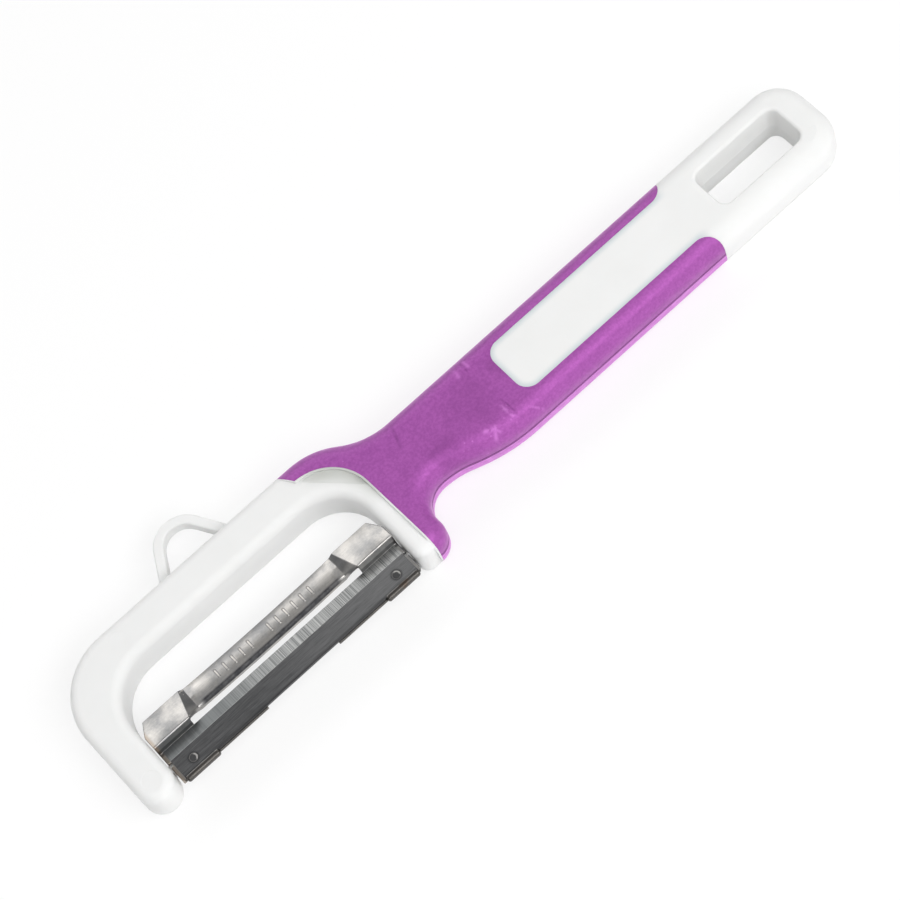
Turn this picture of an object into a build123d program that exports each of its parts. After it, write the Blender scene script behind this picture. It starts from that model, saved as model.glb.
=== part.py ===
from build123d import *
import math
import os

# Vegetable peeler with a straight handle, a bow-shaped head and a swivelling blade, lying on its back.
# The frame is one rigid white moulding: bow, two arms, eye-remover loop and handle core with a slot to
# hang it by. A soft purple grip is moulded over the neck and the sides of the handle. The blade unit is
# a folded sheet-metal carrier with a ground steel strip staked into it. It swings on two pegs moulded on
# the arms, and a key under each peg stops it in the fork of the carrier's ear.
#
# Layout axes while modelling: X from the head's end towards the hanging end, Y across, positive on the
# bow's side, Z out of the front face, zero at mid-thickness. Lengths are millimetres, angles degrees.

# Overall
overall_length = 189.3
handle_width = 20.5
handle_thickness = 11.0
handle_edge_radius = 4.0
hang_corner_radius = 7.2

# Head frame: bow and arms
neck_step = 0.5
blade_gap = 61.3
tip_arm_width = 8.0
tip_arm_reach = 18.1
near_arm_width = 8.5
near_arm_reach = 17.4
near_arm_corner_radius = 4.2
near_arm_inner_corner_radius = 2.4
near_arm_end_step = 0.5
bow_outer_y = 16.8
bow_width = 8.9
bow_corner_radius = 14.5
bow_inner_radius_tip = 11.0
bow_inner_radius_near = 9.8
frame_edge_radius = 2.0

# Neck, where the handle spreads into the head
neck_top_y = 17.3
neck_top_end_x = 64.0
neck_slope_end_x = 84.0
recess_top_y = 6.1
recess_end_x = 105.0
recess_front_radius = 6.0
recess_bend_share = 0.32

# Where the white frame ends and the purple grip starts
white_band = 3.4
band_arc_radius = 10.3
band_arc_y = 2.2
band_arc_sweep = 88.0
band_tip_run = 2.6
band_foot_lean = 0.5
white_rim = 0.35
scoop_radius = 2.0
scoop_depth = 0.6
scoop_direction = 42.0

# Soft grip
grip_thickness = 1.5
core_edge_radius = 2.4
grip_end_x = 155.4
grip_end_radius = 3.7
panel_start_x = 106.9
panel_width = 12.8
panel_corner_radius = 3.2
parting_width = 0.25
parting_depth = 0.25
anchor_radius = 1.5
anchor_spacing = 7.0
anchor_start_x = 86.0
anchor_y = 1.0

# Hanging slot
slot_length = 21.7
slot_width = 9.9
slot_end_wall = 6.75
slot_draft = 0.5
slot_corner_radius = 2.2
slot_edge_radius = 0.7

# Eye remover, the small loop on the bow
loop_x = 39.2
loop_base_width = 18.8
loop_height = 10.4
loop_tip_radius = 6.3
loop_thickness = 2.1
loop_depth = 3.0
loop_root_sink = 1.5
loop_edge_radius = 0.4

# Blade strip
edge_below_centre = 9.85
blade_thickness = 0.6
blade_edge_thickness = 0.06
blade_width = 7.5
bevel_width = 2.7
blade_end_inset = 0.8
blade_edge_clearance = 0.05
blade_cover_clearance = 0.03
stake_inset = 4.5
stake_from_back = 2.2
stake_radius = 0.7
stake_hole_clearance = 0.05
stake_head_radius = 0.95
stake_head_height = 0.18
stake_dimple_radius = 0.7
stake_dimple_depth = 0.45

# Pegs, keys and swing
pivot_behind_edge = 3.1
peg_radius = 0.9
peg_running_clearance = 0.06
peg_past_ear = 0.5
peg_chamfer = 0.2
end_clearance = 0.3
swing_limit = 28.0
key_width = 1.2
key_length = 1.1
key_gap = 0.1
key_past_ear = 0.15
key_clearance = 0.08

# Blade carrier, folded from sheet
sheet = 0.7
pad_above_pivot = 1.1
pad_side_radius = 0.25
pad_corner_radius = 1.1
shoulder_length = 8.8
shoulder_lean = 1.9
shoulder_ahead = 7.25
shoulder_edge_rise = 0.8
shoulder_corner_run = 1.7
shoulder_corner_drop = 3.3
shoulder_corner_radius = 1.2
ridge_ahead = 0.65
ridge_rise = 2.5
ridge_radius = 0.3
ear_width = 6.0
ear_reach = 3.0
ear_corner_radius = 0.9
ear_hub_radius = 2.1
fold_relief_width = 0.9
hem_length = 8.2
hem_overlap = 0.25
hem_sheet = 0.2
hem_bulge = 0.85
hem_bend_radius = 0.5
hem_corner_radius = 0.5
tongue_length = 12.5
tongue_root_width = 5.2
tongue_tip_width = 1.3
tongue_past_blade = 0.25

# Guard bar, the part of the carrier that rides on the vegetable
guard_step = 0.9
guard_ahead = 7.35
guard_slope_width = 2.8
guard_slope_drop = 0.5
guard_level = 0.3
guard_lip_width = 0.55
guard_lip_drop = 0.9
guard_lip_radius = 0.5
cutting_gap = 1.5

# Ejector-pin marks left by the mould
mark_radius = 2.0
mark_depth = 0.06
mark_bow_inset = 4.1
mark_bow_x = 17.0
mark_hang_inset = 5.1
mark_hang_y = 6.4

# One overrun serves every cut, and edges are told apart to one tolerance
overrun = 1.0
tolerance = overrun / 1000

# Places that follow from the sizes above
half_handle = handle_width / 2
half_thickness = handle_thickness / 2
half_frame = half_thickness - neck_step
near_face_x = tip_arm_width + blade_gap
near_outer_x = near_face_x + near_arm_width
band_x = near_face_x + white_band
band_arc_x = band_x - band_arc_radius
bow_inner_y = bow_outer_y - bow_width
loop_top_y = bow_outer_y + loop_height
blade_edge_y = -edge_below_centre
blade_back_y = blade_edge_y - blade_width
pivot_y = blade_edge_y - pivot_behind_edge
pivot_z = 0
pad_bottom_z = pivot_z + pad_above_pivot
pad_top_z = pad_bottom_z + sheet
blade_top_z = pad_top_z + blade_thickness
wall_foot_y = blade_edge_y + blade_edge_clearance
ridge_y = blade_edge_y + ridge_ahead
ridge_z = pad_top_z + ridge_rise
shoulder_front_y = blade_edge_y + shoulder_ahead
shoulder_front_z = pad_top_z + shoulder_edge_rise
unit_start_x = tip_arm_width + end_clearance
unit_end_x = near_face_x - end_clearance
unit_middle_x = (unit_start_x + unit_end_x) / 2
shoulder_inner_x = unit_start_x + shoulder_length
slot_end_x = overall_length - slot_end_wall
slot_mid_x = slot_end_x - slot_length / 2

# The finished part stands with its box centred over the origin and its back on the ground.
to_row_frame = Pos(-overall_length / 2, -(loop_top_y - tip_arm_reach) / 2, half_thickness)


def slab(face, half_height):
    """A flat face grown equally to both sides of the middle plane."""
    return extrude(face, amount=half_height, both=True)


def rim_edges(solid, plan_edges, height):
    """The solid's edges that lie over the given plan edges, at plus and minus that height."""
    middles = [edge.position_at(0.5) for edge in plan_edges]
    found = []
    for edge in solid.edges():
        middle = edge.position_at(0.5)
        if abs(abs(middle.Z) - height) > tolerance:
            continue
        if any(math.hypot(middle.X - m.X, middle.Y - m.Y) < tolerance for m in middles):
            found.append(edge)
    return found


def folded(points, thickness):
    """A sheet's cross-section: the open line of points, thickened to its right with mitred bends."""
    vectors = [Vector(*p) for p in points]
    normals = []
    for a, b in zip(vectors, vectors[1:]):
        run = (b - a).normalized()
        normals.append(Vector(run.Y, -run.X))
    inner = [vectors[0] + normals[0] * thickness]
    for i in range(1, len(vectors) - 1):
        both = normals[i - 1] + normals[i]
        inner.append(vectors[i] + both * (thickness * 2 / both.dot(both)))
    inner.append(vectors[-1] + normals[-1] * thickness)
    return vectors + inner[::-1]


def along_x(section_points, start_x, end_x):
    """A prism whose section is given as (y, z) points, from start_x to end_x."""
    wire = Polyline(*[(start_x, p.X, p.Y) for p in section_points], close=True)
    return extrude(make_face(wire), amount=end_x - start_x, dir=(1, 0, 0))


def block(start, end):
    """A box between two opposite corners."""
    size = [b - a for a, b in zip(start, end)]
    return Pos(*start) * Box(*size, align=(Align.MIN, Align.MIN, Align.MIN))


def rod(radius, start_x, end_x, y, z):
    """A round bar along X."""
    return Pos(start_x, y, z) * Rot(0, 90, 0) * Cylinder(
        radius, end_x - start_x, align=(Align.CENTER, Align.CENTER, Align.MIN)
    )


def handle_outline(left_side):
    """Plan outline of neck, handle and near arm, closed by the given left-hand edges.

    Returns the closed face and the edges that are rounded over."""
    mid_top = (
        (neck_top_end_x + neck_slope_end_x) / 2,
        (neck_top_y + half_handle) / 2,
    )
    recess_top_x = near_outer_x + recess_front_radius
    mid_recess = (
        recess_top_x + (recess_end_x - recess_top_x) * recess_bend_share,
        -(recess_top_y + (half_handle - recess_top_y) * recess_bend_share),
    )
    corner_y = near_arm_reach - near_arm_corner_radius
    end_x = overall_length - hang_corner_radius
    end_y = half_handle - hang_corner_radius
    outer = [
        Line((band_x - band_arc_radius - band_tip_run, neck_top_y), (neck_top_end_x, neck_top_y)),
        TangentArc((neck_top_end_x, neck_top_y), mid_top, tangent=(1, 0)),
        TangentArc((neck_slope_end_x, half_handle), mid_top, tangent=(-1, 0)),
        Line((neck_slope_end_x, half_handle), (end_x, half_handle)),
        CenterArc((end_x, end_y), hang_corner_radius, 0, 90),
        Line((overall_length, end_y), (overall_length, -end_y)),
        CenterArc((end_x, -end_y), hang_corner_radius, 270, 90),
        Line((end_x, -half_handle), (recess_end_x, -half_handle)),
        TangentArc((recess_end_x, -half_handle), mid_recess, tangent=(-1, 0)),
        TangentArc((recess_top_x, -recess_top_y), mid_recess, tangent=(1, 0)),
        CenterArc((recess_top_x, -recess_top_y - recess_front_radius), recess_front_radius, 90, 90),
        Line(
            (near_outer_x, -recess_top_y - recess_front_radius), (near_outer_x, -corner_y)
        ),
        CenterArc(
            (near_outer_x - near_arm_corner_radius, -corner_y), near_arm_corner_radius, 270, 90
        ),
    ]
    foot = (near_outer_x - near_arm_corner_radius, -near_arm_reach)
    left = left_side(foot, (band_x - band_arc_radius - band_tip_run, neck_top_y))
    return make_face(outer + left), outer


def band_edges(foot, tip):
    """Left-hand edges of the neck, following the white band."""
    centre = Vector(band_arc_x, band_arc_y)
    top = centre + Vector(band_arc_radius, 0).rotate(Axis.Z, band_arc_sweep)
    foot_x = band_x + band_foot_lean
    return [
        Line(foot, (foot_x, foot[1])),
        Line((foot_x, foot[1]), (band_x, band_arc_y)),
        CenterArc(centre, band_arc_radius, 0, band_arc_sweep),
        Line(top, tip),
    ]


def straight_edges(foot, tip):
    """Left-hand edges far inside the head, for the core that the grip is moulded over."""
    left_x = tip[0] - band_arc_radius
    return [
        Line(foot, (left_x, foot[1])),
        Line((left_x, foot[1]), (left_x, tip[1])),
        Line((left_x, tip[1]), tip),
    ]


def make_envelope():
    """Outer shape of neck and handle, grip included, with its rounded sides."""
    face, outer = handle_outline(band_edges)
    body = slab(face, half_thickness)
    return fillet(rim_edges(body, outer, half_thickness), handle_edge_radius)


def make_core():
    """What lies under the grip: the handle's outline one grip thickness further in."""
    face, _ = handle_outline(straight_edges)
    inner = offset(face, amount=-grip_thickness)
    half_core = half_thickness - grip_thickness
    body = slab(inner, half_core)
    body = fillet(rim_edges(body, inner.edges(), half_core), core_edge_radius)
    for i in range(3):
        body -= Pos(anchor_start_x + i * anchor_spacing, anchor_y) * Cylinder(
            anchor_radius, handle_thickness
        )
    return body


def grip_face():
    """Plan area in which the grip covers the handle."""
    far_y = neck_top_y + overall_length / 2
    radius = band_arc_radius + white_rim
    centre = Vector(band_arc_x, band_arc_y)
    top = centre + Vector(radius, 0).rotate(Axis.Z, band_arc_sweep)
    tip = Vector(band_x - band_arc_radius - band_tip_run + white_rim, neck_top_y)
    beyond = tip + (tip - top)
    left_x = band_x + white_rim
    foot_drop = (far_y + band_arc_y) / (near_arm_reach + band_arc_y)
    foot_x = left_x + band_foot_lean * foot_drop
    half_panel = panel_width / 2
    area = make_face(
        [
            Line((foot_x, -far_y), (left_x, band_arc_y)),
            CenterArc(centre, radius, 0, band_arc_sweep),
            Line(top, beyond),
            Line(beyond, (beyond.X, far_y)),
            Line((beyond.X, far_y), (grip_end_x, far_y)),
            Line((grip_end_x, far_y), (grip_end_x, half_panel)),
            Line((grip_end_x, half_panel), (panel_start_x, half_panel)),
            Line((panel_start_x, half_panel), (panel_start_x, -half_panel)),
            Line((panel_start_x, -half_panel), (grip_end_x, -half_panel)),
            Line((grip_end_x, -half_panel), (grip_end_x, -far_y)),
            Line((grip_end_x, -far_y), (foot_x, -far_y)),
        ]
    )

    def corners(x):
        return [
            v for v in area.vertices()
            if abs(v.X - x) < tolerance and abs(abs(v.Y) - half_panel) < tolerance
        ]

    area = fillet(corners(grip_end_x), grip_end_radius)
    return fillet(corners(panel_start_x), panel_corner_radius)


def make_grip_space(envelope, core):
    """All the room that the grip takes, between the handle's outline and the core."""
    return (envelope & slab(grip_face(), half_thickness + overrun)) - core


def make_grip(space):
    """The overmoulded grip, with the fine groove that its mould's parting line leaves."""
    face, _ = handle_outline(band_edges)
    parting = slab(offset(face, amount=overrun), parting_width / 2)
    parting -= slab(offset(face, amount=-parting_depth), parting_width)
    return space - parting


def make_ring():
    """Bow, tip arm and near arm, reaching a little under the grip."""
    join_x = band_x + grip_thickness
    near_foot_y = -near_arm_reach + near_arm_end_step
    arm_radius = tip_arm_width / 2
    inner_corner = near_arm_inner_corner_radius
    face = make_face(
        [
            CenterArc(
                (bow_corner_radius, bow_outer_y - bow_corner_radius), bow_corner_radius, 90, 90
            ),
            Line((bow_corner_radius, bow_outer_y), (neck_top_end_x, bow_outer_y)),
            Line((neck_top_end_x, bow_outer_y), (join_x, half_handle)),
            Line((join_x, half_handle), (join_x, near_foot_y)),
            Line((join_x, near_foot_y), (near_face_x + inner_corner, near_foot_y)),
            CenterArc(
                (near_face_x + inner_corner, near_foot_y + inner_corner), inner_corner, 180, 90
            ),
            Line(
                (near_face_x, near_foot_y + inner_corner),
                (near_face_x, bow_inner_y - bow_inner_radius_near),
            ),
            CenterArc(
                (near_face_x - bow_inner_radius_near, bow_inner_y - bow_inner_radius_near),
                bow_inner_radius_near, 0, 90,
            ),
            Line(
                (near_face_x - bow_inner_radius_near, bow_inner_y),
                (tip_arm_width + bow_inner_radius_tip, bow_inner_y),
            ),
            CenterArc(
                (tip_arm_width + bow_inner_radius_tip, bow_inner_y - bow_inner_radius_tip),
                bow_inner_radius_tip, 90, 90,
            ),
            Line(
                (tip_arm_width, bow_inner_y - bow_inner_radius_tip),
                (tip_arm_width, -tip_arm_reach + arm_radius),
            ),
            CenterArc((arm_radius, -tip_arm_reach + arm_radius), arm_radius, 180, 180),
            Line((0, -tip_arm_reach + arm_radius), (0, bow_outer_y - bow_corner_radius)),
        ]
    )
    ring = slab(face, half_frame)
    return fillet(rim_edges(ring, face.edges(), half_frame), frame_edge_radius)


def make_scoops():
    """The hollow beside the grip's edge on each face, a round groove inside the band's arc."""
    half_width = math.sqrt(scoop_radius**2 - (scoop_radius - scoop_depth) ** 2)
    outward = Vector(1, 0).rotate(Axis.Z, scoop_direction)
    place = Vector(band_arc_x, band_arc_y) + outward * (band_arc_radius - half_width)
    inside = Pos(band_arc_x, band_arc_y) * Cylinder(band_arc_radius, handle_thickness * 2)
    height = half_frame + scoop_radius - scoop_depth
    groove = Cylinder(scoop_radius, band_arc_radius * 4)
    turned = Rot(0, 0, scoop_direction) * Rot(90, 0, 0) * groove
    return [Pos(place.X, place.Y, side * height) * turned & inside for side in (1, -1)]


def make_loop():
    """The eye remover: a narrow band bent to a rounded point."""
    base_y = bow_outer_y - loop_root_sink
    half_base = loop_base_width / 2
    # the legs lean so that a rounding of the tip radius ends at the loop's height
    tip_y = loop_top_y - loop_tip_radius
    reach = math.hypot(half_base, tip_y - bow_outer_y)
    lean = math.atan2(tip_y - bow_outer_y, half_base) + math.asin(loop_tip_radius / reach)
    apex_y = bow_outer_y + half_base * math.tan(lean)
    foot = half_base + loop_root_sink / math.tan(lean)
    outline = make_face(
        Polyline(
            (loop_x - foot, base_y), (loop_x, apex_y), (loop_x + foot, base_y), close=True
        )
    )
    outline = fillet(outline.vertices().sort_by(Axis.Y)[-1], loop_tip_radius)
    band = outline - offset(outline, amount=-loop_thickness)
    inside = foot - loop_thickness / math.sin(lean)
    rise = loop_thickness * 2
    band -= make_face(
        Polyline(
            (loop_x - inside, base_y),
            (loop_x - inside + rise / math.tan(lean), base_y + rise),
            (loop_x + inside - rise / math.tan(lean), base_y + rise),
            (loop_x + inside, base_y),
            close=True,
        )
    )
    body = slab(band, loop_depth / 2)
    rims = rim_edges(body, band.edges(), loop_depth / 2)
    return fillet(rims, loop_edge_radius)


def make_slot():
    """The hanging slot, narrowest at mid-thickness, where the two mould halves meet."""
    draft = slot_draft * (half_thickness + overrun) / half_thickness
    middle = RectangleRounded(
        slot_length - 2 * slot_draft, slot_width - 2 * slot_draft, slot_corner_radius - slot_draft
    )
    outer = RectangleRounded(
        slot_length - 2 * slot_draft + 2 * draft,
        slot_width - 2 * slot_draft + 2 * draft,
        slot_corner_radius - slot_draft + draft,
    )
    height = half_thickness + overrun
    halves = [loft([middle, Pos(0, 0, side * height) * outer]) for side in (1, -1)]
    return Pos(slot_mid_x, 0, 0) * (halves[0] + halves[1])


def make_pegs():
    """On each arm's inner face, the peg that the blade unit swings on and the key that stops it."""
    peg_reach = end_clearance + sheet + peg_past_ear
    key_reach = end_clearance + sheet + key_past_ear
    key_top_z = pivot_z - ear_hub_radius - key_gap
    pieces = []
    for face_x, inward in ((tip_arm_width, 1), (near_face_x, -1)):
        ends = sorted((face_x - inward * overrun, face_x + inward * peg_reach))
        peg = rod(peg_radius, ends[0], ends[1], pivot_y, pivot_z)
        tip_edge = peg.edges().filter_by(GeomType.CIRCLE).sort_by(Axis.X)[-1 if inward > 0 else 0]
        pieces.append(chamfer(tip_edge, peg_chamfer))
        ends = sorted((face_x - inward * overrun, face_x + inward * key_reach))
        low = (ends[0], pivot_y - key_width / 2, key_top_z - key_length)
        high = (ends[1], pivot_y + key_width / 2, key_top_z)
        pieces.append(block(low, high))
    return pieces


def make_marks():
    """Shallow round ejector marks on the front face."""
    places = [
        (mark_bow_x, bow_outer_y - mark_bow_inset, half_frame),
        (tip_arm_width / 2, -tip_arm_reach + tip_arm_width / 2 + mark_depth, half_frame),
        (overall_length - mark_hang_inset, -mark_hang_y, half_thickness),
        (overall_length - mark_hang_inset, mark_hang_y, half_thickness),
    ]
    return [
        Pos(x, y, z - mark_depth) * Cylinder(
            mark_radius, overrun, align=(Align.CENTER, Align.CENTER, Align.MIN)
        )
        for x, y, z in places
    ]


def make_frame(envelope, grip_space):
    """The white moulding: head ring, loop and the handle with the grip's space taken out."""
    under_grip = slab(grip_face(), handle_thickness) - envelope
    ring = make_ring() - under_grip
    for scoop in make_scoops():
        ring -= scoop
    frame = ring + make_loop() + envelope
    frame -= make_slot()
    rim = [
        e for e in frame.edges()
        if abs(abs(e.position_at(0.5).Z) - half_thickness) < tolerance
        and abs(e.position_at(0.5).X - slot_mid_x) < slot_length / 2 + overrun / 2
        and abs(e.position_at(0.5).Y) < slot_width / 2 + overrun / 2
    ]
    frame = fillet(rim, slot_edge_radius)
    frame -= grip_space
    for piece in make_pegs():
        frame += piece
    for mark in make_marks():
        frame -= mark
    return frame


def make_shoulder():
    """The left end of the carrier: pad under the blade, steep wall and slope with a slanted corner."""
    back_y = blade_back_y - tongue_past_blade
    section = folded(
        [
            (back_y, pad_top_z),
            (wall_foot_y, pad_top_z),
            (ridge_y, ridge_z),
            (shoulder_front_y, shoulder_front_z),
        ],
        sheet,
    )
    far_x = shoulder_inner_x + shoulder_lean
    body = along_x(section, unit_start_x, far_x)
    ridge = [
        e for e in body.edges().filter_by(Axis.X)
        if abs(e.center().Z - ridge_z) < tolerance
    ]
    body = fillet(ridge, ridge_radius)
    front_y = shoulder_front_y + overrun
    lean_y = shoulder_lean * overrun / (shoulder_front_y - ridge_y)
    plan = make_face(
        Polyline(
            (unit_start_x, back_y),
            (shoulder_inner_x, back_y),
            (shoulder_inner_x, ridge_y),
            (far_x + lean_y, front_y),
            (unit_start_x + shoulder_corner_run, front_y),
            (unit_start_x + shoulder_corner_run, shoulder_front_y),
            (unit_start_x, shoulder_front_y - shoulder_corner_drop),
            close=True,
        )
    )
    back_corner = plan.vertices().group_by(Axis.Y)[0].sort_by(Axis.X)[0]
    plan = fillet(back_corner, pad_corner_radius)
    front_corner = plan.vertices().group_by(Axis.X)[0].sort_by(Axis.Y)[-1]
    plan = fillet(front_corner, shoulder_corner_radius)
    return body & slab(plan, handle_thickness)


def make_ear():
    """The turned-down end of the pad, with the peg's hole, a relief at the fold and the stop's fork."""
    ear = block(
        (unit_start_x, pivot_y - ear_width / 2, pivot_z - ear_reach),
        (unit_start_x + sheet, pivot_y + ear_width / 2, pad_top_z),
    )
    low_corners = ear.edges().filter_by(Axis.X).group_by(Axis.Z)[0]
    ear = fillet(low_corners, ear_corner_radius)
    hole_radius = peg_radius + peg_running_clearance
    start_x, end_x = unit_start_x - overrun, unit_start_x + sheet + overrun
    ear -= rod(hole_radius, start_x, end_x, pivot_y, pivot_z)
    reach = ear_reach * 2
    half_gap = key_width / 2 + key_clearance
    flank = [Vector(half_gap, 0), Vector(half_gap, -reach)]
    right = [p.rotate(Axis.Z, swing_limit) for p in flank]
    left = [Vector(-p.X, p.Y) for p in right[::-1]]
    wedge = [Vector(p.X + pivot_y, p.Y + pivot_z) for p in right + left]
    fork = along_x(wedge, start_x, end_x) - rod(ear_hub_radius, start_x, end_x, pivot_y, pivot_z)
    return ear - fork


def make_hem():
    """The fold that holds the blade's back edge."""
    start_x = unit_start_x + blade_end_inset
    hem = block(
        (start_x, blade_back_y - hem_bulge, pad_bottom_z),
        (start_x + hem_length, blade_back_y + hem_overlap, blade_top_z + hem_sheet),
    )
    back_corners = hem.edges().filter_by(Axis.Z).group_by(Axis.Y)[0]
    hem = fillet(back_corners, hem_corner_radius)
    back = hem.edges().filter_by(Axis.X).group_by(Axis.Y)[0]
    hem = fillet(back, hem_bend_radius)
    pocket = block(
        (start_x - overrun, blade_back_y - blade_edge_clearance, pad_top_z),
        (start_x + hem_length + overrun, blade_edge_y, blade_top_z + blade_cover_clearance),
    )
    return hem - pocket


def make_tongue():
    """The pad's tapering run under the blade's back edge."""
    back_y = blade_back_y - tongue_past_blade
    start_x = shoulder_inner_x - overrun
    end_x = shoulder_inner_x + tongue_length
    plan = make_face(
        Polyline(
            (start_x, back_y),
            (end_x, back_y),
            (end_x, back_y + tongue_tip_width),
            (shoulder_inner_x, back_y + tongue_root_width),
            (start_x, back_y + tongue_root_width),
            close=True,
        )
    )
    return Pos(0, 0, pad_bottom_z) * extrude(plan, amount=sheet)


def make_stake():
    """The pad's metal pushed up through the blade's hole and spread over it, dished by the punch."""
    place = Pos(unit_start_x + stake_inset, blade_back_y + stake_from_back)
    grounded = (Align.CENTER, Align.CENTER, Align.MIN)
    stem = Pos(0, 0, pad_bottom_z) * Cylinder(stake_radius, blade_top_z - pad_bottom_z, align=grounded)
    head = Pos(0, 0, blade_top_z) * Cylinder(stake_head_radius, stake_head_height, align=grounded)
    head = fillet(head.edges().group_by(Axis.Z)[-1], stake_head_height / 2)
    top_z = blade_top_z + stake_head_height
    dimple = Pos(0, 0, top_z - stake_dimple_depth) * Cone(
        stake_dimple_radius / 2, stake_dimple_radius, stake_dimple_depth, align=grounded
    )
    return place * (stem + head - dimple)


def guard_points():
    """Upper surface of the guard bar as (y, z) points, from the slot's lip to the sloping front."""
    top_z = pad_top_z + guard_level
    front_y = blade_edge_y + guard_ahead
    lip_y = blade_edge_y + cutting_gap
    return [
        (lip_y, top_z - guard_lip_drop),
        (lip_y + guard_lip_width, top_z),
        (front_y - guard_slope_width, top_z),
        (front_y, top_z - guard_slope_drop),
    ]


def make_guard():
    """Half of the guard bar with its step down from the shoulder."""
    start_x = shoulder_inner_x + shoulder_lean + guard_step
    points = guard_points()
    bar = along_x(folded(points, sheet), start_x, unit_middle_x)
    bends = [
        e for e in bar.edges().filter_by(Axis.X)
        if abs(e.center().Z - points[1][1]) < tolerance
    ]
    bar = fillet(bends, guard_lip_radius)
    # the step's first section lies along the shoulder's leaning inner end
    slope = Vector(shoulder_front_y - ridge_y, shoulder_front_z - ridge_z)
    shares = [(p[0] - points[0][0]) / (points[-1][0] - points[0][0]) for p in points]
    high = [(ridge_y + slope.X * share, ridge_z + slope.Y * share) for share in shares]
    lean = shoulder_lean / slope.X
    first = [(shoulder_inner_x + lean * (p.X - ridge_y), p.X, p.Y) for p in folded(high, sheet)]
    second = [(start_x, p.X, p.Y) for p in folded(points, sheet)]
    sections = [make_face(Polyline(*ring, close=True)) for ring in (first, second)]
    return bar + loft(sections, ruled=True)


def make_carrier():
    """The whole carrier: one end with half the guard bar, and its mirror image."""
    end = make_shoulder() + make_ear()
    outer_edges = end.edges().filter_by(Axis.Y).group_by(Axis.X)[0]
    end = fillet(outer_edges.group_by(Axis.Z)[-1], pad_side_radius)
    end -= block(
        (unit_start_x - overrun, pivot_y - fold_relief_width / 2, pivot_z),
        (unit_start_x + sheet, pivot_y + fold_relief_width / 2, pad_top_z + overrun),
    )
    end = end + make_hem() + make_tongue() + make_guard()
    end += make_stake()
    other = end.mirror(Plane.YZ.offset(unit_middle_x))
    return end + other


def make_blade():
    """The ground strip, with a bevelled cutting edge and two holes for the stakes."""
    start_x = unit_start_x + blade_end_inset
    end_x = unit_end_x - blade_end_inset
    section = [
        (blade_edge_y, pad_top_z),
        (blade_edge_y, pad_top_z + blade_edge_thickness),
        (blade_edge_y - bevel_width, blade_top_z),
        (blade_back_y, blade_top_z),
        (blade_back_y, pad_top_z),
    ]
    blade = along_x([Vector(*p) for p in section], start_x, end_x)
    hole = Cylinder(stake_radius + stake_hole_clearance, handle_thickness)
    for x in (unit_start_x + stake_inset, unit_end_x - stake_inset):
        blade -= Pos(x, blade_back_y + stake_from_back, pad_top_z) * hole
    return blade


envelope = make_envelope()
grip_space = make_grip_space(envelope, make_core())
nodes = {
    "frame": make_frame(envelope, grip_space),
    "soft_grip": make_grip(grip_space),
    "blade_carrier": make_carrier(),
    "blade": make_blade(),
}
os.makedirs("parts", exist_ok=True)
for name, shape in nodes.items():
    export_step(to_row_frame * shape, f"parts/{name}.step")
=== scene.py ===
import math

import bpy
import numpy as np
from mathutils import Matrix, Vector, noise


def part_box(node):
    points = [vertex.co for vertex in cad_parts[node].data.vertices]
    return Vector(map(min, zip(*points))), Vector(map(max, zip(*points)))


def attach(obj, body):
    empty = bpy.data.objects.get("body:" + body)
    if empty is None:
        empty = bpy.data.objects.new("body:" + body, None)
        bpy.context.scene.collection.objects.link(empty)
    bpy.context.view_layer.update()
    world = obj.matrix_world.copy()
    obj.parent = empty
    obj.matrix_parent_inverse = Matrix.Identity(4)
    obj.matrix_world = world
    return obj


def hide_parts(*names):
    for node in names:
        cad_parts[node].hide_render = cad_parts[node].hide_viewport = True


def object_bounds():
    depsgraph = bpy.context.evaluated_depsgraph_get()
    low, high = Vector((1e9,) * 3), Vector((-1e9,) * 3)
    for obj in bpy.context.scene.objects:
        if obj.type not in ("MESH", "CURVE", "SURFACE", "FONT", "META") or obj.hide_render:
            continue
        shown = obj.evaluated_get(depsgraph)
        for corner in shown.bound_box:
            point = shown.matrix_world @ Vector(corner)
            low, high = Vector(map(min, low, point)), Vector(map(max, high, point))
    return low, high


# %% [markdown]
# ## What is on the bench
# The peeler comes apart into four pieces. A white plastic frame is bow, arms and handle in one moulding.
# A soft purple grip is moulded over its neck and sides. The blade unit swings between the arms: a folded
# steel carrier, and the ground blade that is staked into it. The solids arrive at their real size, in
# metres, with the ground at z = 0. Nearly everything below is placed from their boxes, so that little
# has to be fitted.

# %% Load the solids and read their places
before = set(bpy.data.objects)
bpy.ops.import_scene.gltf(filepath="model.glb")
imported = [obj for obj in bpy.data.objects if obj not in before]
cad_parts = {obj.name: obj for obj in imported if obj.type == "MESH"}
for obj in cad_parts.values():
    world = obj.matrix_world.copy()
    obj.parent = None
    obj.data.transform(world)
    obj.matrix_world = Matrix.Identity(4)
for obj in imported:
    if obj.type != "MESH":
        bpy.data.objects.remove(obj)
cad_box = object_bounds()

mm = 0.001
frame_low, frame_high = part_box("frame")
carrier_low, carrier_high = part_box("blade_carrier")
blade_low, blade_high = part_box("blade")
grip_low, grip_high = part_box("soft_grip")
mid_height = frame_high.z / 2
carrier_middle = (carrier_low.x + carrier_high.x) / 2


def in_mm(values):
    """Lengths in millimetres, to be printed."""
    return [round(value / mm, 2) for value in values]


print("overall, mm:", in_mm(b - a for a, b in zip(*cad_box)))

# %% [markdown]
# ## Camera
# The photograph looks down on the front face, from the cutting side and a little from the head's end, with
# a long lens. Three turns describe that view: a pan about the peeler's short axis, a tilt about its long
# axis and a roll in the picture. The two offsets say where the part's origin lies in the picture,
# measured in the camera's own axes. A camera could also be aimed with a Track To constraint, but then
# the roll would have to be added on top, so the whole matrix is built at once.

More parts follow.
